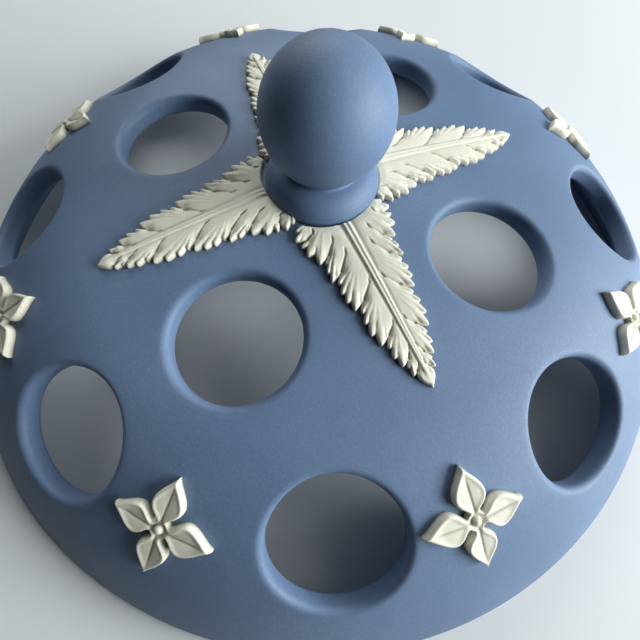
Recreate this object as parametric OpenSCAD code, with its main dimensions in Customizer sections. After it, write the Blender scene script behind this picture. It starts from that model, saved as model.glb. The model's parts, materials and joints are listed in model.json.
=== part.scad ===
// Pierced dome flower frog: the domed stoneware cover of a posy bowl, with a ball
// knob, four leaf sprigs and eight four-petalled florets. Millimetres, +Z up. The
// origin is on the axis at the level of the rim's seat. An azimuth is counted from -Y
// towards +X, so azimuth 0 is the front.

/* [Dome] */
// Widest diameter, at the rim
dome_d = 130; // [130:1:134]
// Radius of the flat crown arc
crown_r = 246; // [230:1:250]
// Radius of the rounded shoulder arc
shoulder_r = 38.4; // [37.4:0.1:38.6]
// Slope of the dome where it meets the rim, in degrees from the horizontal
rim_slope = 60.9; // [60.6:0.1:62]
// Wall thickness
wall = 3.2; // [2.8:0.1:3.6]
// Height of the rim's lip, from its seat to the widest point
lip_h = 1; // [0.8:0.1:1.4]

/* [Stem holes] */
// Diameter of every stem hole
hole_d = 18; // [14:0.5:18]
// Distance from the axis to the centre of an inner hole
inner_ring_r = 27.4; // [25:0.1:27.5]
// Azimuth of the first inner hole
inner_azimuth = 65; // [62:0.5:68]
// Distance from the axis to the centre of an outer hole
outer_ring_r = 50.4; // [50:0.1:51]
// Width of the softened outer edge of a hole
hole_edge = 0.6; // [0.3:0.1:0.7]

/* [Knob] */
// Diameter of the ball
ball_d = 17.6; // [16:0.1:19]
// Height of the ball's centre above the rim's widest point
ball_h = 33.6; // [33:0.1:35]
// Diameter of the foot
foot_d = 17.2; // [16:0.1:17.4]
// Diameter of the neck between foot and ball
neck_d = 11; // [9:0.5:12]
// Height of the foot's upright edge above the crown
foot_edge_h = 0.3; // [0.2:0.1:0.6]
// Radius of the foot's rounded shoulder
foot_round = 3.4; // [2.8:0.1:3.4]

/* [Leaf sprigs] */
// Thickness of a leaf
leaf_t = 1.1; // [0.8:0.1:1.4]
// Distance from the axis to a leaf's tip
leaf_tip_r = 34.5; // [33.5:0.1:34.6]
// Gap between the knob's foot and the leaves
leaf_gap = 0.3; // [0.2:0.1:0.5]
// Depth of the notches between the teeth
tooth_depth = 0.6; // [0.3:0.1:0.8]

/* [Florets] */
// Thickness of a floret
floret_t = 1.4; // [1:0.1:1.8]
// Distance from the axis to a floret's centre
floret_ring_r = 51.2; // [50.5:0.1:51.5]
// Length of a petal from the floret's centre
petal_l = 6.9; // [6:0.1:7.2]
// Width of a petal
petal_w = 4.2; // [3.6:0.1:4.6]
// Diameter of the round centre that joins the petals
centre_d = 2.4; // [2:0.1:3]

/* [Hidden] */
$fn = 96;

blue = [0.36, 0.44, 0.58];
cream = [0.86, 0.84, 0.77];

// Centre of the shoulder arc: it passes through the rim's widest point at the rim's slope
shoulder_x = dome_d / 2 - shoulder_r * sin(rim_slope);
shoulder_z = lip_h - shoulder_r * cos(rim_slope);

// Slope where crown and shoulder meet, and the centre of the crown arc on the axis
meet_slope = asin(shoulder_x / (crown_r - shoulder_r));
crown_z = shoulder_z - (crown_r - shoulder_r) * cos(meet_slope);

// Slope and height of the outer surface at each ring of holes, and at the florets
inner_slope = asin(inner_ring_r / crown_r);
inner_z = crown_z + crown_r * cos(inner_slope);
outer_slope = asin((outer_ring_r - shoulder_x) / shoulder_r);
outer_z = shoulder_z + shoulder_r * cos(outer_slope);
floret_slope = asin((floret_ring_r - shoulder_x) / shoulder_r);
floret_z = shoulder_z + shoulder_r * cos(floret_slope);
apex_z = crown_z + crown_r;

// Numbers of repeats round the dome
inner_count = 4;
floret_count = 8;
petal_count = 4;
floret_pitch = 360 / floret_count;
ring_fn = 256;

// A cutter is made this much longer than it needs to be
spare = 4;

// Width of the eased outer corner under the rim
lip_ease = 0.8;

// Azimuth of each outer hole, as the hand that pierced them left them
outer_azimuths = [2, 45.5, 91, 135, 181, 227, 271, 316.8];

// Azimuth and lean of each leaf, as the hand that laid them on left them
leaf_azimuths = [-66, 24, 110.7, 202];
leaf_leans = [2, 0.7, -1, 0];

// Lobes of one side of a leaf, from the knob to the tip. Each one has its lower
// corner, its upper corner, its number of teeth and the notch above it, as
// [distance from the leaf's own axis, distance from the knob's axis].
leaf_lobes = [
    [[7.2, 8.1], [7.9, 9.3], 2, [6.3, 9.6]],
    [[7.2, 10.3], [5.9, 13.6], 3, [4.3, 12.7]],
    [[5.2, 14.1], [5.7, 16.5], 3, [3.9, 15.8]],
    [[4.7, 17.3], [4.8, 21.4], 4, [2.9, 20.6]],
    [[3.7, 22.0], [3.9, 27.1], 4, [2.1, 26.3]],
    [[2.8, 27.4], [2.4, 30.6], 3, [1.2, 29.8]],
    [[1.8, 31.0], [1.9, 32.1], 2, [1.0, 31.7]]
];
leaf_foot = [6.1, 6.8];
leaf_shoulder = [1.2, 33.2];

// The teeth of one lobe: points on the line between its corners with notches between
function teeth(lobe) = [
    for (i = [0:2 * (lobe[2] - 1)])
        let (
            at = i / (2 * (lobe[2] - 1)),
            on_line = lobe[0] * (1 - at) + lobe[1] * at
        )
        i % 2 == 0 ? on_line : on_line - [tooth_depth, 0]
];

function half_leaf() = concat(
    [leaf_foot],
    [for (lobe = leaf_lobes) each concat(teeth(lobe), [lobe[3]])],
    [leaf_shoulder]
);

function leaf_outline() = concat(
    half_leaf(),
    [[0, leaf_tip_r]],
    [for (i = [len(half_leaf()) - 1:-1:0]) [-half_leaf()[i][0], half_leaf()[i][1]]]
);

// The sector of the section plane that the crown arc fills, from the axis to a slope
module crown_sector(slope) {
    reach = crown_r + 2 * spare;
    translate([0, crown_z])
        polygon([[0, 0], [0, reach], [reach * tan(slope), reach]]);
}

// The sector that the shoulder arc fills, from one slope to another
module shoulder_sector(from_slope, to_slope) {
    reach = 2 * shoulder_r;
    middle = (from_slope + to_slope) / 2;
    translate([shoulder_x, shoulder_z])
        polygon([
            [0, 0],
            [reach * sin(from_slope), reach * cos(from_slope)],
            [reach * sin(middle), reach * cos(middle)],
            [reach * sin(to_slope), reach * cos(to_slope)]
        ]);
}

// A band of the section between two distances from the outer surface
module crown_band(low, high) {
    translate([0, crown_z])
        difference() {
            circle(r = crown_r + high, $fn = 4 * ring_fn);
            circle(r = crown_r + low, $fn = 4 * ring_fn);
        }
}

module shoulder_band(low, high) {
    translate([shoulder_x, shoulder_z])
        difference() {
            circle(r = shoulder_r + high, $fn = ring_fn);
            circle(r = shoulder_r + low, $fn = ring_fn);
        }
}

// Section of the dome's wall, cut level at the widest point
module wall_section() {
    intersection() {
        crown_band(-wall, 0);
        crown_sector(meet_slope);
    }
    intersection() {
        shoulder_band(-wall, 0);
        shoulder_sector(meet_slope, 90);
        translate([0, lip_h])
            square([dome_d, dome_d]);
    }
}

// Section of the rim's lip: a level seat with an eased outer corner
module lip_section() {
    difference() {
        polygon([
            [dome_d / 2 - 2 * wall, 0],
            [dome_d / 2 - lip_ease, 0],
            [dome_d / 2 - lip_ease / 4, lip_h / 3],
            [dome_d / 2, lip_h],
            [dome_d / 2 - 2 * wall, lip_h]
        ]);
        translate([shoulder_x, shoulder_z])
            circle(r = shoulder_r - wall, $fn = ring_fn);
    }
}

// A stem hole's cutter on the front, square to the surface, with its outer edge eased
module stem_hole(ring_r, z, slope) {
    translate([0, -ring_r, z])
        rotate([slope, 0, 0]) {
            translate([0, 0, -wall - spare])
                cylinder(d = hole_d, h = wall + 2 * spare);
            translate([0, 0, -hole_edge])
                cylinder(d1 = hole_d, d2 = hole_d + 2 * (hole_edge + spare), h = hole_edge + spare);
        }
}

module dome() {
    color(blue)
        difference() {
            rotate_extrude($fn = ring_fn)
                union() {
                    wall_section();
                    lip_section();
                }
            for (i = [0:inner_count - 1])
                rotate([0, 0, inner_azimuth + i * 360 / inner_count])
                    stem_hole(inner_ring_r, inner_z, inner_slope);
            for (azimuth = outer_azimuths)
                rotate([0, 0, azimuth])
                    stem_hole(outer_ring_r, outer_z, outer_slope);
        }
}

// Ball, neck and foot, turned in one piece; the foot's underside fits the crown
module knob() {
    ball_z = lip_h + ball_h;
    edge_z = apex_z + foot_edge_h;
    flat_r = foot_d / 2 - foot_round;
    color(blue)
        rotate_extrude($fn = ring_fn)
            difference() {
                union() {
                    translate([0, ball_z])
                        circle(d = ball_d);
                    translate([0, apex_z])
                        square([neck_d / 2, ball_z - apex_z]);
                    translate([0, apex_z - 1])
                        square([foot_d / 2, foot_edge_h + 1]);
                    translate([0, apex_z - 1])
                        square([flat_r, foot_edge_h + 1 + foot_round]);
                    translate([flat_r, edge_z])
                        circle(r = foot_round);
                }
                translate([0, crown_z])
                    circle(r = crown_r, $fn = 4 * ring_fn);
                translate([-ball_d, 0])
                    square([ball_d, 2 * ball_z]);
            }
}

// A leaf's plan outline swept through the layer that lies on the crown
module leaf(i) {
    color(cream)
        intersection() {
            rotate([0, 0, 180 + leaf_azimuths[i]])
                linear_extrude(height = 2 * apex_z)
                    difference() {
                        translate([0, leaf_tip_r])
                            rotate(leaf_leans[i])
                                translate([0, -leaf_tip_r])
                                    polygon(leaf_outline());
                        circle(d = foot_d + 2 * leaf_gap);
                    }
            rotate_extrude($fn = ring_fn)
                intersection() {
                    crown_band(0, leaf_t);
                    crown_sector(meet_slope);
                }
        }
}

// A petal is pointed at both ends: two arcs back to back
module petal() {
    arc_r = (petal_l * petal_l + petal_w * petal_w) / (4 * petal_w);
    translate([0, petal_l / 2])
        intersection_for (side = [-1, 1])
            translate([side * (arc_r - petal_w / 2), 0])
                circle(r = arc_r);
}

// A floret's outline swept along the dome's normal through the layer on the shoulder
module floret(i) {
    color(cream)
        rotate([0, 0, (i - 0.5) * floret_pitch])
            intersection() {
                translate([0, -floret_ring_r, floret_z])
                    rotate([floret_slope, 0, 0])
                        translate([0, 0, -spare])
                            linear_extrude(height = 2 * spare)
                                union() {
                                    circle(d = centre_d);
                                    for (turn = [0:petal_count - 1])
                                        rotate(turn * 360 / petal_count)
                                            petal();
                                }
                rotate_extrude($fn = ring_fn)
                    intersection() {
                        shoulder_band(0, floret_t);
                        shoulder_sector(meet_slope, rim_slope);
                    }
            }
}

dome();
knob();
leaf(0);  // leaf_left
leaf(1);  // leaf_front
leaf(2);  // leaf_right
leaf(3);  // leaf_back
floret(1);  // floret_1
floret(2);  // floret_2
floret(3);  // floret_3
floret(4);  // floret_4
floret(5);  // floret_5
floret(6);  // floret_6
floret(7);  // floret_7
floret(8);  // floret_8
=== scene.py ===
import json
import math

import bpy
import bmesh
import numpy as np
from mathutils import Matrix, Vector
from mathutils.geometry import delaunay_2d_cdt


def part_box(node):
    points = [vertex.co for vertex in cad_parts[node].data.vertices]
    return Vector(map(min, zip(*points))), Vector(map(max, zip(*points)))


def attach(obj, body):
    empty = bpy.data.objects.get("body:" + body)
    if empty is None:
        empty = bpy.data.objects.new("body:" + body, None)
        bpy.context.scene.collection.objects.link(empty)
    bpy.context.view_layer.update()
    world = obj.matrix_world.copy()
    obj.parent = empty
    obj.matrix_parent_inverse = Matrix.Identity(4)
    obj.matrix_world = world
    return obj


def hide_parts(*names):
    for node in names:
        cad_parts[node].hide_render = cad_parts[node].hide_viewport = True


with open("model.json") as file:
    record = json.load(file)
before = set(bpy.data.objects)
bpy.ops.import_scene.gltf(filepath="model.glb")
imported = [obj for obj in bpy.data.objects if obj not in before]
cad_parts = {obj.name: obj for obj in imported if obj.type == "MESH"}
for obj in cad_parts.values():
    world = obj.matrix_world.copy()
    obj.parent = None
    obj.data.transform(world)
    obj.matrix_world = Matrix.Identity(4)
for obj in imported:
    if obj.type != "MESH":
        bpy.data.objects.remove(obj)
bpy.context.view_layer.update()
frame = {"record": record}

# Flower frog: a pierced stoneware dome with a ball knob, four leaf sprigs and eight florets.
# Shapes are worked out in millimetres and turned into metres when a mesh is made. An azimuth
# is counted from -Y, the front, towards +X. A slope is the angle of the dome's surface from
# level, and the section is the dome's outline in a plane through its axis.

MM = 0.001
JOIN_WITHIN = 0.002 * MM
MOUNTS = {m["name"]: m for m in frame["record"]["mounts"]}

# The dome's section: a crown arc on the axis and a shoulder arc down to the rim
RIM_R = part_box("dome")[1].x / MM
SEAT_Z = MOUNTS["rim_seat"]["pos_m"][2] / MM
LIP_H = 1.0
RIM_Z = SEAT_Z + LIP_H
CROWN_R = 246.0
SHOULDER_R = 38.4
RIM_SLOPE = math.radians(60.9)
WALL = 3.2
SHOULDER_X = RIM_R - SHOULDER_R * math.sin(RIM_SLOPE)
SHOULDER_Z = RIM_Z - SHOULDER_R * math.cos(RIM_SLOPE)
MEET_SLOPE = math.asin(SHOULDER_X / (CROWN_R - SHOULDER_R))
CROWN_Z = SHOULDER_Z - (CROWN_R - SHOULDER_R) * math.cos(MEET_SLOPE)
APEX_Z = CROWN_Z + CROWN_R

# The rim's rounded nose, and the easing of the inner corner of its seat
NOSE_R = 0.8
SEAT_CORNER_R = 0.5

# Points round the dome and round the knob, and the distance between points of the dome's net
TURNS = 360
KNOB_TURNS = 160
SHEET_STEP = 1.5

# Stem holes: easing of the outer and inner edges, and points round each one
HOLE_EDGE_OUT = 1.1
HOLE_EDGE_IN = 0.6
HOLE_POINTS = 112

# Knob: radii of foot and neck, height of the foot's upright edge, radius of its round shoulder
# and of the fillet at the neck, how deep it sinks into the crown, and how far the ball leans to +X
FOOT_R = 8.6
NECK_R = 5.4
FOOT_EDGE_H = 0.3
FOOT_ROUND = 3.4
FILLET_R = 0.4
FOOT_SUNK = 0.25
KNOB_LEAN = 0.4

# Leaves, as laid on by hand: azimuth of the tip and lean about it, in degrees, and how far the
# tip is pulled outwards
LEAVES = {
    "leaf_left": (-66.0, 2.0, 0.5),
    "leaf_front": (24.0, 0.7, 0.0),
    "leaf_right": (110.7, -1.0, 0.0),
    "leaf_back": (202.0, 0.0, 0.4),
}

# Distance of a leaf's tip from the axis, the gap round the knob's foot, and the distance between
# points of a leaf's net and of its outline
LEAF_TIP_R = 34.5
LEAF_GAP = 0.22
LEAF_STEP = 0.15
LEAF_EDGE_STEP = 0.16

# Florets: distance from the axis, azimuth of the first and angle between neighbours, and how the
# hand that laid each one on left it: shift in azimuth in degrees, shift outwards, turn in degrees,
# size, and share and direction in degrees of its stretch
FLORET_RING_R = 51.2
FLORET_FIRST = 22.5
FLORET_PITCH = 45
FLORET_HANDS = [
    (-0.6, -0.8, -1.7, 1.01, 0.03, 112),
    (0.3, 0.2, -4.0, 1.02, 0.03, 40),
    (-0.2, -0.3, 3.0, 0.98, 0.04, 150),
    (0.4, 0.1, -2.0, 1.0, 0.02, 260),
    (-0.3, 0.3, 4.0, 1.0, 0.04, 330),
    (0.1, -0.2, 1.0, 0.98, 0.03, 80),
    (0.2, 0.1, -3.0, 1.0, 0.04, 200),
    (-0.2, 0.3, -2.5, 0.99, 0.04, 8),
]

# Distance between points of a floret's net and outline, and radius of the bead at its centre
FLORET_STEP = 0.13
BEAD_R = 0.62

# Half the table's side, its height, a hair under the rim's seat, and the lamps' distance and the
# height that they are aimed at, all in metres
TABLE_HALF = 0.34
TABLE_Z = -0.00005
LAMP_DISTANCE = 0.45
LAMP_TARGET_Z = 0.02

# The camera: focal length and sensor width, place in millimetres, and pitch, yaw and roll in degrees
LENS = 21.97
SENSOR_W = 36.0
CAMERA_PLACE = (-1.31, -42.95, RIM_Z + 68.84)
CAMERA_TURN = (-67.053, 2.684, 2.695)

# Height of the reliefs' backs: just into the dome's face, as if pressed on with slip
SUNK = -0.08

# Width over which a relief's face rounds off at its edge
EDGE_ROUND = 0.26

# Rows down the side of a relief: share of its height, and how much painted shade it gets there,
# and the painted shade at its foot and on its back
SIDE_ROWS = [(1.0, 0.12), (0.55, 0.28), (0.2, 0.55)]
FOOT_SHADE = 0.8


# ---------------------------------------------------------------- the dome's surface

def domed(slope, turn, out=0.0):
    """Points at a slope and azimuth, in radians, on the surface that lies out from the dome's own."""
    slope, turn = np.asarray(slope, float), np.asarray(turn, float)
    crown = slope < MEET_SLOPE
    radius = np.where(crown, CROWN_R, SHOULDER_R) + out
    r = np.where(crown, 0.0, SHOULDER_X) + radius * np.sin(slope)
    z = np.where(crown, CROWN_Z, SHOULDER_Z) + radius * np.cos(slope)
    return np.stack([r * np.sin(turn), -r * np.cos(turn), z], -1)


def slope_at(points):
    """Slope of the dome under each point."""
    r = np.hypot(points[..., 0], points[..., 1])
    on_crown = np.arctan2(r, points[..., 2] - CROWN_Z)
    on_shoulder = np.arctan2(r - SHOULDER_X, points[..., 2] - SHOULDER_Z)
    return np.where(on_crown < MEET_SLOPE, on_crown, on_shoulder)


def height_over(points):
    """Height of points over the dome's outer surface, along its normal."""
    r = np.hypot(points[..., 0], points[..., 1])
    over_crown = np.hypot(r, points[..., 2] - CROWN_Z) - CROWN_R
    over_shoulder = np.hypot(r - SHOULDER_X, points[..., 2] - SHOULDER_Z) - SHOULDER_R
    return np.where(np.arctan2(r, points[..., 2] - CROWN_Z) < MEET_SLOPE, over_crown, over_shoulder)


def arc_of(slope, out=0.0):
    """Distance from the apex along the section to a slope."""
    crown = (CROWN_R + out) * np.minimum(slope, MEET_SLOPE)
    return crown + (SHOULDER_R + out) * np.maximum(slope - MEET_SLOPE, 0)


def slope_of(reach, out=0.0):
    """Slope at a distance from the apex along the section."""
    crown = (CROWN_R + out) * MEET_SLOPE
    on_shoulder = MEET_SLOPE + (reach - crown) / (SHOULDER_R + out)
    return np.where(reach < crown, reach / (CROWN_R + out), on_shoulder)


def flatten(points, out=0.0):
    """The dome's points unrolled to a plane, with their distance from the apex kept."""
    reach = arc_of(slope_at(points), out)
    r = np.maximum(np.hypot(points[..., 0], points[..., 1]), 1e-9)
    return points[..., :2] * (reach / r)[..., None]


def fold(flat, out=0.0):
    """The inverse of flatten."""
    reach = np.hypot(flat[..., 0], flat[..., 1])
    return domed(slope_of(reach, out), np.arctan2(flat[..., 0], -flat[..., 1]), out)


def raised(slope, turn, height):
    """Points at a height along the normal over the dome at a slope and azimuth."""
    across = np.sin(slope)
    normal = np.stack([across * np.sin(turn), -across * np.cos(turn), np.cos(slope)], -1)
    return domed(slope, turn) + normal * np.asarray(height)[..., None]


def over_plan(x, y, height):
    """Points at a height along the normal over the dome at a place in plan."""
    r = np.hypot(x, y)
    crown = r < CROWN_R * math.sin(MEET_SLOPE)
    sine = np.where(crown, r / CROWN_R, (r - SHOULDER_X) / SHOULDER_R)
    return raised(np.arcsin(np.clip(sine, 0, 1)), np.arctan2(x, -y), height)


# ---------------------------------------------------------------- mesh helpers

class Patchwork:
    """Patches of one mesh, joined where their edges coincide."""

    def __init__(self):
        self.points, self.faces, self.count = [], [], 0

    def add(self, points, faces):
        """A patch of points and of faces that number them."""
        self.points.append(np.asarray(points, float).reshape(-1, 3))
        self.faces += [tuple(self.count + i for i in f) for f in faces]
        self.count += len(self.points[-1])

    def rows(self, rows):
        """A grid of quads from rows of points, each row a ring."""
        rows = np.asarray(rows, float)
        n, m = rows.shape[:2]
        faces = [
            (i * m + j, i * m + (j + 1) % m, (i + 1) * m + (j + 1) % m, (i + 1) * m + j)
            for i in range(n - 1)
            for j in range(m)
        ]
        self.add(rows, faces)

    def fan(self, ring, tip):
        """Triangles from a ring to a point."""
        m = len(ring)
        self.add(np.vstack([ring, [tip]]), [(j, (j + 1) % m, m) for j in range(m)])

    def make(self, name, material, values=None):
        """The joined mesh as an object, with a named value at each point if any are given."""
        mesh = bpy.data.meshes.new(name)
        mesh.from_pydata((np.vstack(self.points) * MM).tolist(), [], self.faces)
        for key, data in (values or {}).items():
            attribute = mesh.attributes.new(key, "FLOAT", "POINT")
            attribute.data.foreach_set("value", np.asarray(data, np.float32))
        work = bmesh.new()
        work.from_mesh(mesh)
        bmesh.ops.remove_doubles(work, verts=work.verts, dist=JOIN_WITHIN)
        bmesh.ops.recalc_face_normals(work, faces=work.faces)
        work.to_mesh(mesh)
        work.free()
        mesh.shade_smooth()
        mesh.materials.append(material)
        piece = bpy.data.objects.new(name, mesh)
        bpy.context.scene.collection.objects.link(piece)
        return piece


def ring_of(count):
    """Angles evenly round a circle."""
    return np.arange(count) * (2 * math.pi / count)


def turned(section, count):
    """Rows of points: a section of (distance from the axis, height) turned about the axis."""
    a = ring_of(count)
    rows = [np.stack([r * np.sin(a), -r * np.cos(a), np.full(count, z)], -1) for r, z in section]
    return np.array(rows)


def arc(centre, radius, start, end, steps):
    """Points of an arc in the section; angles in degrees run from straight up towards the outside."""
    a = np.radians(np.linspace(start, end, steps + 1))
    return [(centre[0] + radius * math.sin(t), centre[1] + radius * math.cos(t)) for t in a]


def honeycomb(low, high, step):
    """Points of a triangular grid over a rectangle."""
    rows = np.arange(low[1], high[1], step * math.sqrt(0.75))
    xs = np.arange(low[0], high[0], step)
    return np.array([(x + (i % 2) * step / 2, y) for i, y in enumerate(rows) for x in xs])


def inside(points, loop):
    """Which points lie inside a closed outline."""
    hit = np.zeros(len(points), bool)
    for a, b in zip(loop, np.roll(loop, -1, 0)):
        crosses = (a[1] > points[:, 1]) != (b[1] > points[:, 1])
        with np.errstate(divide="ignore", invalid="ignore"):
            at = (b[0] - a[0]) * (points[:, 1] - a[1]) / (b[1] - a[1]) + a[0]
        hit ^= crosses & (points[:, 0] < at)
    return hit


def distance_to(points, loop):
    """Distance from each point to a closed line of points."""
    best = np.full(len(points), 1e9)
    for a, b in zip(loop, np.roll(loop, -1, 0)):
        d = b - a
        t = np.clip(((points - a) @ d) / max(d @ d, 1e-12), 0, 1)
        best = np.minimum(best, np.hypot(*(points - a - t[:, None] * d).T))
    return best


def triangulate(points, loops):
    """Triangles inside closed loops of point numbers, with the loops after the first as holes."""
    edges = [(int(a), int(b)) for loop in loops for a, b in zip(loop, np.roll(loop, -1))]
    out = delaunay_2d_cdt([Vector(p) for p in points], edges, [], 1, 1e-7)
    faces = np.array([[out[3][i][0] for i in face] for face in out[2]])
    middles = np.asarray(points)[faces].mean(1)
    for loop in loops[1:]:
        faces, middles = (kept[~inside(middles, points[loop])] for kept in (faces, middles))
    return [tuple(face) for face in faces.tolist()]


def smooth_line(points, steps):
    """A Catmull-Rom curve through points, open at its ends."""
    p = np.vstack([2 * points[0] - points[1], points, 2 * points[-1] - points[-2]])
    out = []
    for i in range(1, len(p) - 2):
        for t in np.arange(steps) / steps:
            out.append(
                0.5 * (2 * p[i] + (p[i + 1] - p[i - 1]) * t
                       + (2 * p[i - 1] - 5 * p[i] + 4 * p[i + 1] - p[i + 2]) * t * t
                       + (3 * p[i] - p[i - 1] - 3 * p[i + 1] + p[i + 2]) * t ** 3)
            )
    out.append(p[-2])
    return np.array(out)


def spaced(line, step):
    """A line of points with new points along it, about a step apart, and its corners kept."""
    out = []
    for a, b in zip(line[:-1], line[1:]):
        n = max(1, int(round(np.hypot(*(b - a)) / step)))
        out += [a + (b - a) * k / n for k in range(n)]
    return np.array(out + [line[-1]])


def ease(x, low, high):
    """A smooth step from 0 at low to 1 at high."""
    t = np.clip((x - low) / (high - low), 0, 1)
    return t * t * (3 - 2 * t)


# ---------------------------------------------------------------- materials

def node_tree(name):
    """A new material's nodes and links, with its Principled shader."""
    material = bpy.data.materials.new(name)
    material.use_nodes = True
    tree = material.node_tree
    return material, tree, tree.nodes["Principled BSDF"]


def linked(tree, kind, settings=None, inputs=None):
    """A new node with its settings made and its inputs set or linked."""
    made = tree.nodes.new(kind)
    for key, value in (settings or {}).items():
        setattr(made, key, value)
    for key, value in (inputs or {}).items():
        if isinstance(value, bpy.types.NodeSocket):
            tree.links.new(value, made.inputs[key])
        else:
            made.inputs[key].default_value = value
    return made


def noise(tree, place, scale, detail, roughness=0.55):
    """A noise node's value, with its scale per metre."""
    made = linked(tree, "ShaderNodeTexNoise", None,
                  {"Vector": place, "Scale": scale, "Detail": detail, "Roughness": roughness})
    return made.outputs["Fac"]


def ramp(tree, value, stops):
    """A colour ramp's colour over a value."""
    made = linked(tree, "ShaderNodeValToRGB", None, {"Fac": value})
    while len(made.color_ramp.elements) < len(stops):
        made.color_ramp.elements.new(0.5)
    for element, (at, colour) in zip(made.color_ramp.elements, stops):
        element.position = at
        element.color = (*colour, 1)
    return made.outputs["Color"]


def mixed(tree, share, a, b, way="MIX"):
    """Two colours mixed by a share."""
    made = linked(tree, "ShaderNodeMix", {"data_type": "RGBA", "blend_type": way})
    for socket, value in ((made.inputs[0], share), (made.inputs[6], a), (made.inputs[7], b)):
        if isinstance(value, bpy.types.NodeSocket):
            tree.links.new(value, socket)
        elif isinstance(value, tuple):
            socket.default_value = (*value, 1)
        else:
            socket.default_value = value
    return made.outputs[2]


def math_node(tree, way, a, b=0.0, c=0.0):
    """A maths node's result."""
    made = linked(tree, "ShaderNodeMath", {"operation": way}, {0: a, 1: b, 2: c})
    return made.outputs[0]


def bump(tree, height, distance, strength, normal=None):
    """A bump node's normal; the height's full range stands for the distance."""
    inputs = {"Height": height, "Distance": distance, "Strength": strength}
    if normal is not None:
        inputs["Normal"] = normal
    return linked(tree, "ShaderNodeBump", None, inputs).outputs["Normal"]


def blue_stoneware():
    """Matte unglazed blue body: cloudy tone, fine specks and grain, faint turning lines."""
    material, tree, shader = node_tree("blue_stoneware")
    place = tree.nodes.new("ShaderNodeTexCoord").outputs["Object"]
    clouds = noise(tree, place, 55.0, 3.0)
    grain = noise(tree, place, 2600.0, 3.0, 0.6)
    tone = ramp(tree, clouds, [(0.3, (0.120, 0.188, 0.312)), (0.7, (0.155, 0.228, 0.362))])
    specks = linked(tree, "ShaderNodeTexVoronoi", {"feature": "F1"}, {"Vector": place, "Scale": 1500.0})
    is_speck = ramp(tree, specks.outputs["Distance"], [(0.06, (1, 1, 1)), (0.22, (0, 0, 0))])
    picked = ramp(tree, noise(tree, place, 700.0, 2.0), [(0.48, (0, 0, 0)), (0.58, (1, 1, 1))])
    speck_share = mixed(tree, 1.0, is_speck, picked, "MULTIPLY")
    pale = mixed(tree, math_node(tree, "MULTIPLY", speck_share, 0.5), tone, (0.26, 0.34, 0.48))
    colour = mixed(tree, math_node(tree, "MULTIPLY", grain, 0.6), pale, (0.075, 0.12, 0.215))
    tree.links.new(colour, shader.inputs["Base Color"])
    rough = linked(tree, "ShaderNodeMapRange", None, {"Value": grain, "To Min": 0.52, "To Max": 0.66})
    tree.links.new(rough.outputs["Result"], shader.inputs["Roughness"])
    axis = linked(tree, "ShaderNodeSeparateXYZ", None, {"Vector": place})
    across = math_node(tree, "POWER", axis.outputs["X"], 2.0)
    along = math_node(tree, "POWER", axis.outputs["Y"], 2.0)
    from_axis = math_node(tree, "SQRT", math_node(tree, "ADD", across, along))
    wander = math_node(tree, "MULTIPLY_ADD", noise(tree, place, 40.0, 2.0), 0.0012, from_axis)
    lines = math_node(tree, "SINE", math_node(tree, "MULTIPLY", wander, 9500.0))
    turning = bump(tree, lines, 0.000003, 0.2)
    uneven = bump(tree, noise(tree, place, 130.0, 2.0), 0.00008, 0.25, turning)
    surface = bump(tree, grain, 0.00005, 0.5, uneven)
    tree.links.new(surface, shader.inputs["Normal"])
    shader.inputs["Specular IOR Level"].default_value = 0.42
    return material


def cream_relief():
    """Matte warm white relief clay, darkened with painted shade in its hollows and low on its sides."""
    material, tree, shader = node_tree("cream_relief")
    place = tree.nodes.new("ShaderNodeTexCoord").outputs["Object"]
    clouds = noise(tree, place, 240.0, 3.0)
    grain = noise(tree, place, 3200.0, 3.0, 0.6)
    tone = ramp(tree, clouds, [(0.3, (0.72, 0.70, 0.58)), (0.7, (0.77, 0.75, 0.63))])
    # Painted shade: the clay is darkened towards brown-grey where the point value is high, in creases,
    # grooves and low on each side
    painted_shade = linked(tree, "ShaderNodeAttribute", {"attribute_name": "painted_shade"}).outputs["Fac"]
    tone_with_shade = mixed(tree, painted_shade, tone, (0.26, 0.22, 0.17))
    colour = mixed(tree, math_node(tree, "MULTIPLY", grain, 0.12), tone_with_shade, (0.50, 0.47, 0.38))
    tree.links.new(colour, shader.inputs["Base Color"])
    rough = linked(tree, "ShaderNodeMapRange", None, {"Value": grain, "To Min": 0.5, "To Max": 0.68})
    tree.links.new(rough.outputs["Result"], shader.inputs["Roughness"])
    surface = bump(tree, grain, 0.00003, 0.5, bump(tree, noise(tree, place, 900.0, 3.0), 0.00006, 0.4))
    tree.links.new(surface, shader.inputs["Normal"])
    shader.inputs["Specular IOR Level"].default_value = 0.4
    return material


def pale_table():
    """Plain pale matte surface under the object."""
    material, tree, shader = node_tree("pale_table")
    place = tree.nodes.new("ShaderNodeTexCoord").outputs["Object"]
    tone = ramp(tree, noise(tree, place, 9.0, 2.0), [(0.3, (0.64, 0.66, 0.68)), (0.7, (0.67, 0.69, 0.71))])
    tree.links.new(tone, shader.inputs["Base Color"])
    shader.inputs["Roughness"].default_value = 0.7
    return material


# ---------------------------------------------------------------- the dome

def hole_ring(mount, radius, depth):
    """Points round a stem hole, at a distance from its axis and a depth below the dome's surface."""
    centre = np.array(mount["pos_m"]) / MM
    axis = Vector(mount["axis"])
    across = axis.orthogonal().normalized()
    other = np.array(axis.cross(across))
    across, axis = np.array(across), np.array(axis)
    a = ring_of(HOLE_POINTS)[:, None]
    start = centre + radius * (np.cos(a) * across + np.sin(a) * other)
    along = np.zeros(HOLE_POINTS)
    # Each pass moves the points along the hole's axis nearly on to the depth
    for _ in range(12):
        along -= height_over(start + along[:, None] * axis) + depth
    return start + along[:, None] * axis


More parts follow.
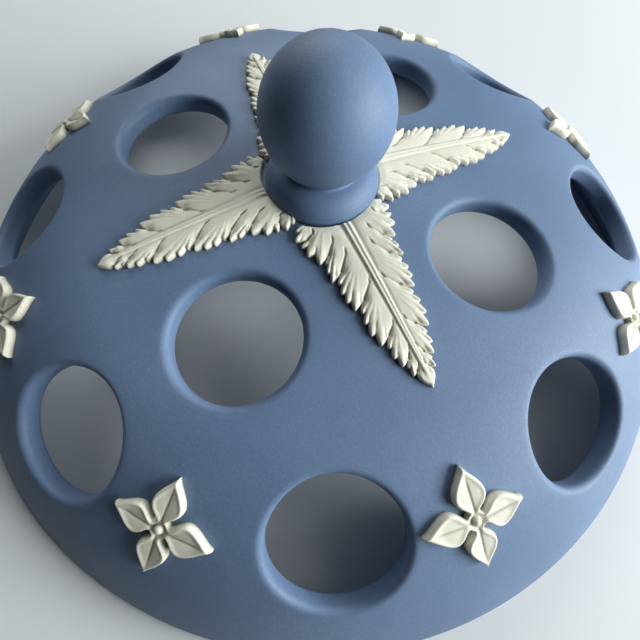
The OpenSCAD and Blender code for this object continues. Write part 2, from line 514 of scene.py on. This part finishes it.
def hole_lining(mount):
    """Rings from the dome's outer surface through an eased edge, down the wall and out underneath."""
    r = mount["dims"]["r_mm"]
    rings = []
    for t in np.radians(np.linspace(0, 90, 8)):
        rings.append((r + HOLE_EDGE_OUT * (1 - math.sin(t)), HOLE_EDGE_OUT * (1 - math.cos(t))))
    for depth in np.linspace(HOLE_EDGE_OUT, WALL - HOLE_EDGE_IN, 5)[1:-1]:
        rings.append((r, depth))
    for t in np.radians(np.linspace(90, 0, 6)):
        rings.append((r + HOLE_EDGE_IN * (1 - math.sin(t)), WALL - HOLE_EDGE_IN * (1 - math.cos(t))))
    return np.array([hole_ring(mount, radius, depth) for radius, depth in rings])


def pierced_sheet(patches, border_slope, edges, out):
    """One side of the dome's wall as a fine net between its border and the edges of its holes."""
    turns = ring_of(TURNS)
    border = domed(np.full(TURNS, border_slope), turns, out)
    points, loops, flats = [border], [list(range(TURNS))], [flatten(border, out)]
    count = TURNS
    for edge in edges:
        points.append(edge)
        flats.append(flatten(edge, out))
        loops.append(list(range(count, count + len(edge))))
        count += len(edge)
    centres = [(flat.mean(0), np.hypot(*(flat - flat.mean(0)).T).max()) for flat in flats[1:]]
    limit = arc_of(border_slope, out)
    fill = honeycomb((-limit, -limit), (limit, limit), SHEET_STEP)
    fill = fill[np.hypot(*fill.T) < limit - 0.7 * SHEET_STEP]
    # Round each hole, two rings of points with the edge's own shape, the outer one half as dense
    for (centre, radius), edge in zip(centres, flats[1:]):
        fill = fill[np.hypot(*(fill - centre).T) > radius + 2.1]
        for grow, every in ((0.6, 1), (1.35, 2)):
            around = centre + (edge - centre) * (1 + grow / radius)
            fill = np.vstack([fill, around[::every]])
    points.append(fold(fill, out))
    flats.append(fill)
    faces = triangulate(np.vstack(flats), loops)
    patches.add(np.vstack(points), faces)


def rim_section():
    """The section from the dome's edge round the nose and across the seat to the underside."""
    nose_z = SEAT_Z + NOSE_R
    nose_x = SHOULDER_X + math.sqrt((SHOULDER_R - NOSE_R) ** 2 - (nose_z - SHOULDER_Z) ** 2)
    nose_start = math.degrees(math.atan2(nose_x - SHOULDER_X, nose_z - SHOULDER_Z))
    corner_z = SEAT_Z + SEAT_CORNER_R
    corner_reach = SHOULDER_R - WALL + SEAT_CORNER_R
    corner_x = SHOULDER_X + math.sqrt(corner_reach ** 2 - (corner_z - SHOULDER_Z) ** 2)
    inner_end = math.degrees(math.atan2(corner_x - SHOULDER_X, corner_z - SHOULDER_Z))
    section = arc((nose_x, nose_z), NOSE_R, nose_start, 180, 12)
    section += [(x, SEAT_Z) for x in np.linspace(nose_x, corner_x, 4)[1:-1]]
    section += arc((corner_x, corner_z), SEAT_CORNER_R, 180, 180 + inner_end, 6)
    return section, math.radians(nose_start), math.radians(inner_end)


def make_dome(material):
    """The pierced dome with its rim, as one closed mesh."""
    patches = Patchwork()
    section, outer_end, inner_end = rim_section()
    patches.rows(turned(section, TURNS))
    linings = [hole_lining(m) for name, m in MOUNTS.items() if name.startswith("stem_hole")]
    for lining in linings:
        patches.rows(lining)
    pierced_sheet(patches, outer_end, [lining[0] for lining in linings], 0.0)
    pierced_sheet(patches, inner_end, [lining[-1] for lining in linings], -WALL)
    return patches.make("pierced_dome", material)


# ---------------------------------------------------------------- the knob

def make_knob(material):
    """Ball, neck and foot, turned in one piece, with the foot's flat underside sunk in the crown."""
    low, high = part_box("knob")
    ball_r = (high.x - low.x) / 2 / MM
    ball_z = high.z / MM - ball_r
    edge_z = APEX_Z + FOOT_EDGE_H
    base_z = APEX_Z - FOOT_SUNK
    neck_at = math.degrees(math.asin(NECK_R / ball_r))
    fillet = (NECK_R + FILLET_R + 0.05, edge_z + FOOT_ROUND - 0.05 + FILLET_R)
    section = arc((0, ball_z), ball_r, 0.8, 180 - neck_at - 5, 90)
    section += arc(fillet, FILLET_R, -80, -168, 8)
    section += arc((FOOT_R - FOOT_ROUND, edge_z), FOOT_ROUND, 12, 88, 18)
    section += [(FOOT_R - 0.1, edge_z - 0.15), (FOOT_R - 0.35, base_z)]
    section += [(r, base_z) for r in (6.0, 3.0, 0.5)]
    patches = Patchwork()
    rows = turned(section, KNOB_TURNS)
    rows[..., 0] += KNOB_LEAN * ease(rows[..., 2], edge_z + 1, ball_z)
    patches.rows(rows)
    patches.fan(rows[0], (KNOB_LEAN, 0, ball_z + ball_r))
    patches.fan(rows[-1][::-1], (0, 0, base_z))
    return patches.make("ball_knob", material)


# ---------------------------------------------------------------- relief pieces

def net(outline, spacing, margin):
    """Points inside an outline, their distance from it and the triangles between them."""
    fill = honeycomb(outline.min(0), outline.max(0), spacing)
    fill = fill[inside(fill, outline)]
    near = distance_to(fill, outline)
    fill, near = fill[near > margin], near[near > margin]
    plan = np.vstack([outline, fill])
    edge = np.concatenate([np.zeros(len(outline)), near])
    return plan, edge, triangulate(plan, [list(range(len(outline)))])


def relief(outline, step, height):
    """A mould: a fine net for the face, a coarse one for the back, and the face's height and painted shade.
    """
    plan, edge, faces = net(outline, step, 0.6 * step)
    back_plan, _, back_faces = net(outline, 8 * step, 0.6 * step)
    tall, painted_shade = height(plan, edge)
    return (plan, faces), (back_plan, back_faces), tall, painted_shade, len(outline)


def place_relief(name, shape, place, material):
    """A closed relief piece: its face, its side and its back, laid on the dome by a placing function."""
    (plan, faces), (back_plan, back_faces), tall, painted_shade, rim = shape
    patches = Patchwork()
    patches.add(place(plan, tall), faces)
    side = [place(plan[:rim], tall[:rim] * share) for share, _ in SIDE_ROWS]
    side.append(place(plan[:rim], np.full(rim, SUNK)))
    patches.rows(side)
    patches.add(place(back_plan, np.full(len(back_plan), SUNK)), [f[::-1] for f in back_faces])
    # Painted shade down each side of the relief, deeper towards its foot, and over its foot and back
    side_shades = [np.maximum(painted_shade[:rim], side_shade) for _, side_shade in SIDE_ROWS]
    values = np.concatenate([painted_shade, *side_shades, np.full(rim + len(back_plan), FOOT_SHADE)])
    return patches.make(name, material, {"painted_shade": values})


def rounded(top, brink, edge):
    """A face's height that starts from a brink at its edge and rounds over to its full height."""
    brink = np.minimum(brink, top)
    share = np.sqrt(np.clip(1 - (1 - np.minimum(edge / EDGE_ROUND, 1)) ** 2, 0, 1))
    return brink + (top - brink) * share


# Half a leaf, from the knob outwards, as (distance from the midrib, distance from the knob's axis).
# Each lobe has the root that its teeth fan out from, the tips of its teeth, the sinus above it,
# and the eye beside the midrib where the fold between it and the next lobe ends.
LOBES = [
    {"root": (4.4, 6.6), "sinus": (6.1, 9.1), "eye": (5.0, 8.5),
     "tips": [(7.25, 7.3), (7.9, 8.7)]},
    {"root": (2.8, 7.6), "sinus": (4.4, 12.6), "eye": (3.0, 10.8),
     "tips": [(7.55, 9.9), (7.2, 11.6), (6.2, 13.5)]},
    {"root": (1.9, 10.0), "sinus": (3.9, 15.6), "eye": (2.2, 13.3),
     "tips": [(5.5, 13.8), (5.85, 15.1), (5.8, 16.6)]},
    {"root": (0.9, 14.6), "sinus": (2.9, 20.5), "eye": (1.15, 18.5),
     "tips": [(5.2, 17.1), (5.45, 18.6), (5.3, 20.0), (4.75, 21.5)]},
    {"root": (0.7, 19.8), "sinus": (2.05, 26.2), "eye": (0.95, 25.0),
     "tips": [(4.2, 22.1), (4.5, 23.6), (4.4, 25.4), (3.75, 27.2)]},
    {"root": (0.5, 25.2), "sinus": (1.15, 30.0), "eye": (0.65, 28.9),
     "tips": [(3.1, 27.8), (3.05, 29.3), (2.45, 30.7)]},
    {"root": (0.3, 28.4), "sinus": (0.9, 31.9), "eye": (0.5, 31.3),
     "tips": [(1.95, 31.1), (1.75, 32.3)]},
]

# Depth of a notch as a share of the distance between its teeth, how far a tooth's tip is rounded
# off, width of the left half of a leaf as a share of the right, and where the midrib starts
NOTCH = 0.52
TIP_CUT = 0.22
LEFT_SHARE = 0.94
RIB_BASE_R = 8.8


def bezier(start, control, end, steps):
    """Points of a quadratic curve, with both of its ends."""
    t = np.linspace(0, 1, steps + 1)[:, None]
    return (1 - t) ** 2 * start + 2 * t * (1 - t) * control + t * t * end


def tooth(start, tip, end):
    """One tooth from notch to notch: a full lower side, a rounded tip and a nearly straight upper side."""
    up, down = tip - start, end - tip
    belly, shoulder = np.array((up[1], -up[0])), np.array((down[1], -down[0]))
    low = bezier(start, start + up * 0.5 + belly * 0.13, tip, 10)
    high = bezier(tip, tip + down * 0.5 + shoulder * 0.06, end, 10)
    low = low[np.hypot(*(low - tip).T) > TIP_CUT]
    high = high[np.hypot(*(high - tip).T) > TIP_CUT]
    return np.vstack([low, bezier(low[-1], tip, high[0], 5)[1:-1], high[:-1]])


def leaf_side():
    """The outline of the right side of a leaf, from the foot to the tip."""
    foot_r, foot_turn = FOOT_R + LEAF_GAP, 0.74
    start = np.array((foot_r * math.sin(foot_turn), foot_r * math.cos(foot_turn)))
    pieces = []
    for lobe in LOBES:
        root, tips = np.array(lobe["root"]), [np.array(t) for t in lobe["tips"]]
        for tip, after in zip(tips, tips[1:] + [None]):
            if after is None:
                end = np.array(lobe["sinus"])
            else:
                middle = (tip + after) / 2
                inward = (root - middle) / np.hypot(*(root - middle))
                end = middle + inward * NOTCH * np.hypot(*(after - tip))
            pieces.append(tooth(start, tip, end))
            start = end
    crown = [bezier(start, np.array((1.5, 32.7)), np.array((0.75, 33.6)), 8)[:-1]]
    crown.append(bezier(np.array((0.75, 33.6)), np.array((0.2, 34.2)), np.array((0.0, LEAF_TIP_R)), 5))
    return spaced(np.vstack(pieces + crown), LEAF_EDGE_STEP)


def leaf_outline():
    """The whole outline, anticlockwise, with the foot's round edge at its base."""
    side = leaf_side()
    left = side[::-1][1:] * np.array((-LEFT_SHARE, 1))
    turns = np.linspace(-math.atan2(-left[-1][0], left[-1][1]), math.atan2(*side[0]), 70)[1:-1]
    radii = np.linspace(np.hypot(*left[-1]), np.hypot(*side[0]), 70)[1:-1]
    foot = np.stack([radii * np.sin(turns), radii * np.cos(turns)], -1)
    return np.vstack([foot, side, left])


def lobe_relief(p, lobe):
    """Ridges that fan out from a lobe's root to its teeth, with a fine vein on each ridge."""
    root, tips = np.array(lobe["root"]), np.array(lobe["tips"])
    heading = np.arctan2(tips[:, 0] - root[0], tips[:, 1] - root[1])
    order = np.argsort(heading)
    heading, reach = heading[order], np.hypot(*(tips[order] - root).T)
    mine, out = np.arctan2(p[:, 0] - root[0], p[:, 1] - root[1]), np.hypot(*(p - root).T)
    nearest = np.argmin(np.abs(mine[:, None] - heading), 1)
    gap = np.diff(heading).mean()
    off = (mine - heading[nearest]) / gap
    share = out / reach[nearest]
    ridge = 0.5 + 0.5 * np.cos(2 * math.pi * np.clip(off, -0.5, 0.5))
    slit = np.exp(-(((np.abs(off) - 0.5) * gap * out) / 0.10) ** 2) * ease(share, 0.62, 0.82)
    spread = 0.12 * ease(share, 0.2, 0.6) + 0.88 * ease(share, 0.6, 1.0)
    vein = np.exp(-((off * gap * out) / 0.13) ** 2) * ease(share, 0.2, 0.4) * (1 - ease(share, 0.7, 0.95))
    return 0.10 * (ridge - 0.5) * spread - 0.18 * slit + 0.03 * vein


def leaf_height(plan, edge):
    """Height of a leaf's face and the painted shade in its creases."""
    left = plan[:, 0] < 0
    u, v = np.abs(plan[:, 0]), plan[:, 1]
    u = np.where(left, u / LEFT_SHARE, u)
    p = np.stack([u, v], -1)
    along = np.clip((v - RIB_BASE_R) / (LEAF_TIP_R - RIB_BASE_R), 0, 1)
    lobe_of = np.zeros(len(p), int)
    crease, soft, eyes = np.zeros(len(p)), np.zeros(len(p)), np.zeros(len(p))
    for lobe in LOBES:
        sinus, eye = np.array(lobe["sinus"]), np.array(lobe["eye"])
        over = sinus[1] + 1.2 * (9.0 - sinus[0])
        lobe_of += v > np.interp(u, [0, eye[0], sinus[0], 9.0], [eye[1] - 2.2, eye[1], sinus[1], over])
        size = min(1.0, 0.35 + 0.2 * sinus[0])
        away = distance_to(p, np.array([sinus, eye]))
        run = np.clip((u - eye[0]) / (sinus[0] - eye[0]), 0, 1)
        crease = np.maximum(crease, (0.25 + 0.75 * run) * np.exp(-(away / (0.08 + 0.11 * run * size)) ** 2))
        soft = np.maximum(soft, (0.35 + 0.65 * run) * np.exp(-(away / (0.75 * size)) ** 2))
        lean = (u - eye[0] - 0.25 * (v - eye[1])) / (0.12 * size)
        slit = lean ** 2 + ((v - eye[1] + 0.20) / (0.6 * size)) ** 2
        eyes = np.maximum(eyes, np.exp(-slit * slit) * np.where(left, 1.0, 0.7))
    fans = np.zeros(len(p))
    for i, lobe in enumerate(LOBES):
        own = lobe_of == i
        fans[own] = lobe_relief(p[own], lobe)
    rib_w = 0.36 * (1 - 0.62 * along)
    ends = 1 - ease(v, LEAF_TIP_R - 2.6, LEAF_TIP_R - 1.2)
    rib = np.exp(-((u - rib_w) / (0.5 * rib_w + 0.04)) ** 2) * ends
    beside = np.exp(-((u - 2.5 * rib_w) / (0.65 * rib_w + 0.04)) ** 2) * ends
    body = 0.86 + 0.08 * ease(u, 0.7, 2.2) * (1 - along) - 0.12 * (1 - ease(edge, 0.0, 1.3))
    tip_lobe = 0.06 * np.exp(-((v - LEAF_TIP_R + 1.4) / 0.9) ** 2)
    top = body + fans + tip_lobe - 0.17 * soft - 0.32 * crease - 0.30 * eyes
    top += 0.17 * (1 - 0.35 * along) * rib - 0.10 * beside
    # Painted shade in the creases between lobes, in the eyes and in the grooves beside the midrib
    painted_shade = np.clip(0.75 * crease + 0.75 * eyes + 0.18 * beside, 0, 1)
    return rounded(np.maximum(top, 0.14), 0.48, edge), painted_shade


def make_leaves(material):
    """Four leaves from one mould, each with its own azimuth, lean and slide."""
    shape = relief(leaf_outline(), LEAF_STEP, leaf_height)
    leaves = {}
    for node, (azimuth, lean, slide) in LEAVES.items():
        turn, tilt = math.radians(azimuth), math.radians(lean)

        def place(plan, tall):
            """Points of the mould laid on the crown, its y axis out from the knob."""
            reach = plan[:, 1] + slide * ease(plan[:, 1], FOOT_R, LEAF_TIP_R)
            across, out = plan[:, 0], reach - LEAF_TIP_R
            u = across * math.cos(tilt) - out * math.sin(tilt)
            v = across * math.sin(tilt) + out * math.cos(tilt) + LEAF_TIP_R
            x = -u * math.cos(turn) + v * math.sin(turn)
            y = -u * math.sin(turn) - v * math.cos(turn)
            return over_plan(x, y, tall)

        leaves[node] = place_relief(node + "_sprig", shape, place, material)
    return leaves


# Half a petal: (distance from the floret's centre, half its width there)
PETAL = np.array([(0.95, 0.95), (1.2, 0.72), (1.6, 0.98), (2.15, 1.58), (2.8, 2.0),
                  (3.5, 2.08), (4.35, 1.78), (5.3, 1.12), (6.2, 0.42), (6.95, 0.0)])


def floret_outline():
    """Four petals round the centre, anticlockwise, with a rounded sinus between neighbours."""
    half = smooth_line(PETAL, 8)
    petal = np.vstack([half * np.array((1, -1)), half[::-1][1:]])
    points = []
    for k in range(4):
        a = math.pi / 2 * k
        turn = np.array([[math.cos(a), math.sin(a)], [-math.sin(a), math.cos(a)]])
        points += list((petal @ turn)[:-1])
    loop = np.array(points)
    return spaced(np.vstack([loop, loop[:1]]), FLORET_STEP)[:-1]


def floret_height(plan, edge):
    """Height of a floret's face, dished petals with a raised margin round a bead, and the painted shade in
    its creases.
    """
    turn = np.arctan2(plan[:, 1], plan[:, 0])
    quarter = np.round(turn / (math.pi / 2)) * (math.pi / 2)
    reach = np.hypot(*plan.T)
    s = reach * np.cos(turn - quarter)
    w = np.abs(reach * np.sin(turn - quarter))
    toward_tip = ease(s, 4.2, 6.2)
    margin = 0.12 * np.exp(-((edge - 0.32) / 0.26) ** 2) * (1 - 0.4 * toward_tip)
    crease = 0.13 * np.exp(-(w / 0.14) ** 2) + 0.15 * np.exp(-(w / 0.8) ** 2)
    top = 1.04 + 0.06 * toward_tip + margin - crease * (1 - toward_tip)
    hub = ease(reach, 0.72, 1.5)
    top = top * hub + 0.66 * (1 - hub)
    bead = np.sqrt(np.clip(BEAD_R ** 2 - reach ** 2, 0, None))
    top = np.where(reach < BEAD_R, np.maximum(top, 0.60 + 1.05 * bead), top)
    moat = np.exp(-((reach - BEAD_R - 0.10) / 0.18) ** 2)
    vein = np.exp(-(w / 0.16) ** 2) * ease(s, 0.6, 1.2) * (1 - toward_tip)
    # Painted shade along each petal's central crease and in a ring round the bead
    painted_shade = np.clip(0.55 * vein + 0.6 * moat, 0, 1)
    return rounded(top, 0.62, edge), painted_shade


def make_florets(material):
    """Eight florets from one mould, each with its own place, turn, size and slight stretch."""
    shape = relief(floret_outline(), FLORET_STEP, floret_height)
    florets = {}
    for i, (shift, outwards, twist, size, pull, way) in enumerate(FLORET_HANDS):
        azimuth = math.radians(FLORET_FIRST + FLORET_PITCH * i + shift)
        ring_slope = math.asin((FLORET_RING_R + outwards - SHOULDER_X) / SHOULDER_R)
        spin, way = math.radians(twist), math.radians(way)

        def place(plan, tall):
            """Points of the mould laid on the shoulder, its y axis up the slope."""
            turn = np.arctan2(plan[:, 1], plan[:, 0])
            reach = np.hypot(*plan.T) * size * (1 + pull * np.cos(turn - way))
            slope = ring_slope - reach * np.sin(turn + spin) / SHOULDER_R
            r = SHOULDER_X + SHOULDER_R * np.sin(slope)
            return raised(slope, azimuth + reach * np.cos(turn + spin) / r, tall)

        florets[f"floret_{i + 1}"] = place_relief(f"floret_{i + 1}_relief", shape, place, material)
    return florets


# ---------------------------------------------------------------- stage, lights and camera

def make_floor():
    """A plain pale table top under the object."""
    mesh = bpy.data.meshes.new("table")
    side, z = TABLE_HALF, TABLE_Z
    corners = [(-side, -side, z), (side, -side, z), (side, side, z), (-side, side, z)]
    mesh.from_pydata(corners, [], [(0, 1, 2, 3)])
    mesh.materials.append(pale_table())
    floor = bpy.data.objects.new("table", mesh)
    bpy.context.scene.collection.objects.link(floor)


def lamp(name, bearing, rise, size, power, colour):
    """A soft rectangular light facing the object, at a bearing from +X towards +Y and a rise."""
    light = bpy.data.lights.new(name, "AREA")
    light.shape = "RECTANGLE"
    light.size, light.size_y = size
    light.energy = power
    light.color = colour
    piece = bpy.data.objects.new(name, light)
    bpy.context.scene.collection.objects.link(piece)
    a, e = math.radians(bearing), math.radians(rise)
    way = Vector((math.cos(e) * math.cos(a), math.cos(e) * math.sin(a), math.sin(e)))
    piece.location = Vector((0, 0, LAMP_TARGET_Z)) + way * LAMP_DISTANCE
    piece.rotation_euler = way.to_track_quat("Z", "Y").to_euler()


def make_light():
    """Soft window light from low on the right and from behind, in a dim room with a pale backdrop."""
    world = bpy.data.worlds.new("room")
    bpy.context.scene.world = world
    world.use_nodes = True
    tree = world.node_tree
    # The room lights the object dimly, and the camera sees it as a pale backdrop
    fill = tree.nodes["Background"]
    fill.inputs["Color"].default_value = (0.80, 0.90, 1.0, 1)
    fill.inputs["Strength"].default_value = 0.02
    backdrop = tree.nodes.new("ShaderNodeBackground")
    backdrop.inputs["Color"].default_value = (0.80, 0.85, 0.88, 1)
    backdrop.inputs["Strength"].default_value = 0.85
    path = tree.nodes.new("ShaderNodeLightPath")
    either = tree.nodes.new("ShaderNodeMixShader")
    tree.links.new(path.outputs["Is Camera Ray"], either.inputs["Fac"])
    tree.links.new(fill.outputs["Background"], either.inputs[1])
    tree.links.new(backdrop.outputs["Background"], either.inputs[2])
    tree.links.new(either.outputs["Shader"], tree.nodes["World Output"].inputs["Surface"])
    lamp("window_low", -14, 20, (0.34, 0.22), 3.7, (0.95, 1.0, 1.0))
    lamp("window_high", 12, 44, (0.30, 0.25), 0.5, (0.98, 1.0, 0.98))
    lamp("window_back", 104, 34, (0.35, 0.25), 1.15, (0.95, 1.0, 1.0))
    bpy.context.scene.view_settings.view_transform = "Standard"


def make_camera():
    """A close viewpoint high over the front, looking down and slightly forward."""
    data = bpy.data.cameras.new("camera")
    data.sensor_width = SENSOR_W
    data.lens = LENS
    data.clip_start = 0.005
    camera = bpy.data.objects.new("camera", data)
    bpy.context.scene.collection.objects.link(camera)
    pitch, yaw, roll = (math.radians(a) for a in CAMERA_TURN)
    forward = Vector((math.sin(yaw) * math.cos(pitch), math.cos(yaw) * math.cos(pitch), math.sin(pitch)))
    level = Vector((math.cos(yaw), -math.sin(yaw), 0))
    upright = level.cross(forward)
    right = level * math.cos(roll) + upright * math.sin(roll)
    up = upright * math.cos(roll) - level * math.sin(roll)
    turn = Matrix((right, up, -forward)).transposed()
    camera.matrix_world = Matrix.Translation(Vector(CAMERA_PLACE) * MM) @ turn.to_4x4()
    bpy.context.scene.camera = camera


# ---------------------------------------------------------------- the object

def main():
    """Builds every piece, hangs it on the root body and hides the CAD part that it stands for, and sets the
    stage.
    """
    make_camera()
    make_light()
    make_floor()
    blue, cream = blue_stoneware(), cream_relief()
    for node, piece in (("dome", make_dome(blue)), ("knob", make_knob(blue))):
        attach(piece, "root")
        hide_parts(node)
    for node, piece in {**make_leaves(cream), **make_florets(cream)}.items():
        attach(piece, "root")
        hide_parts(node)


main()
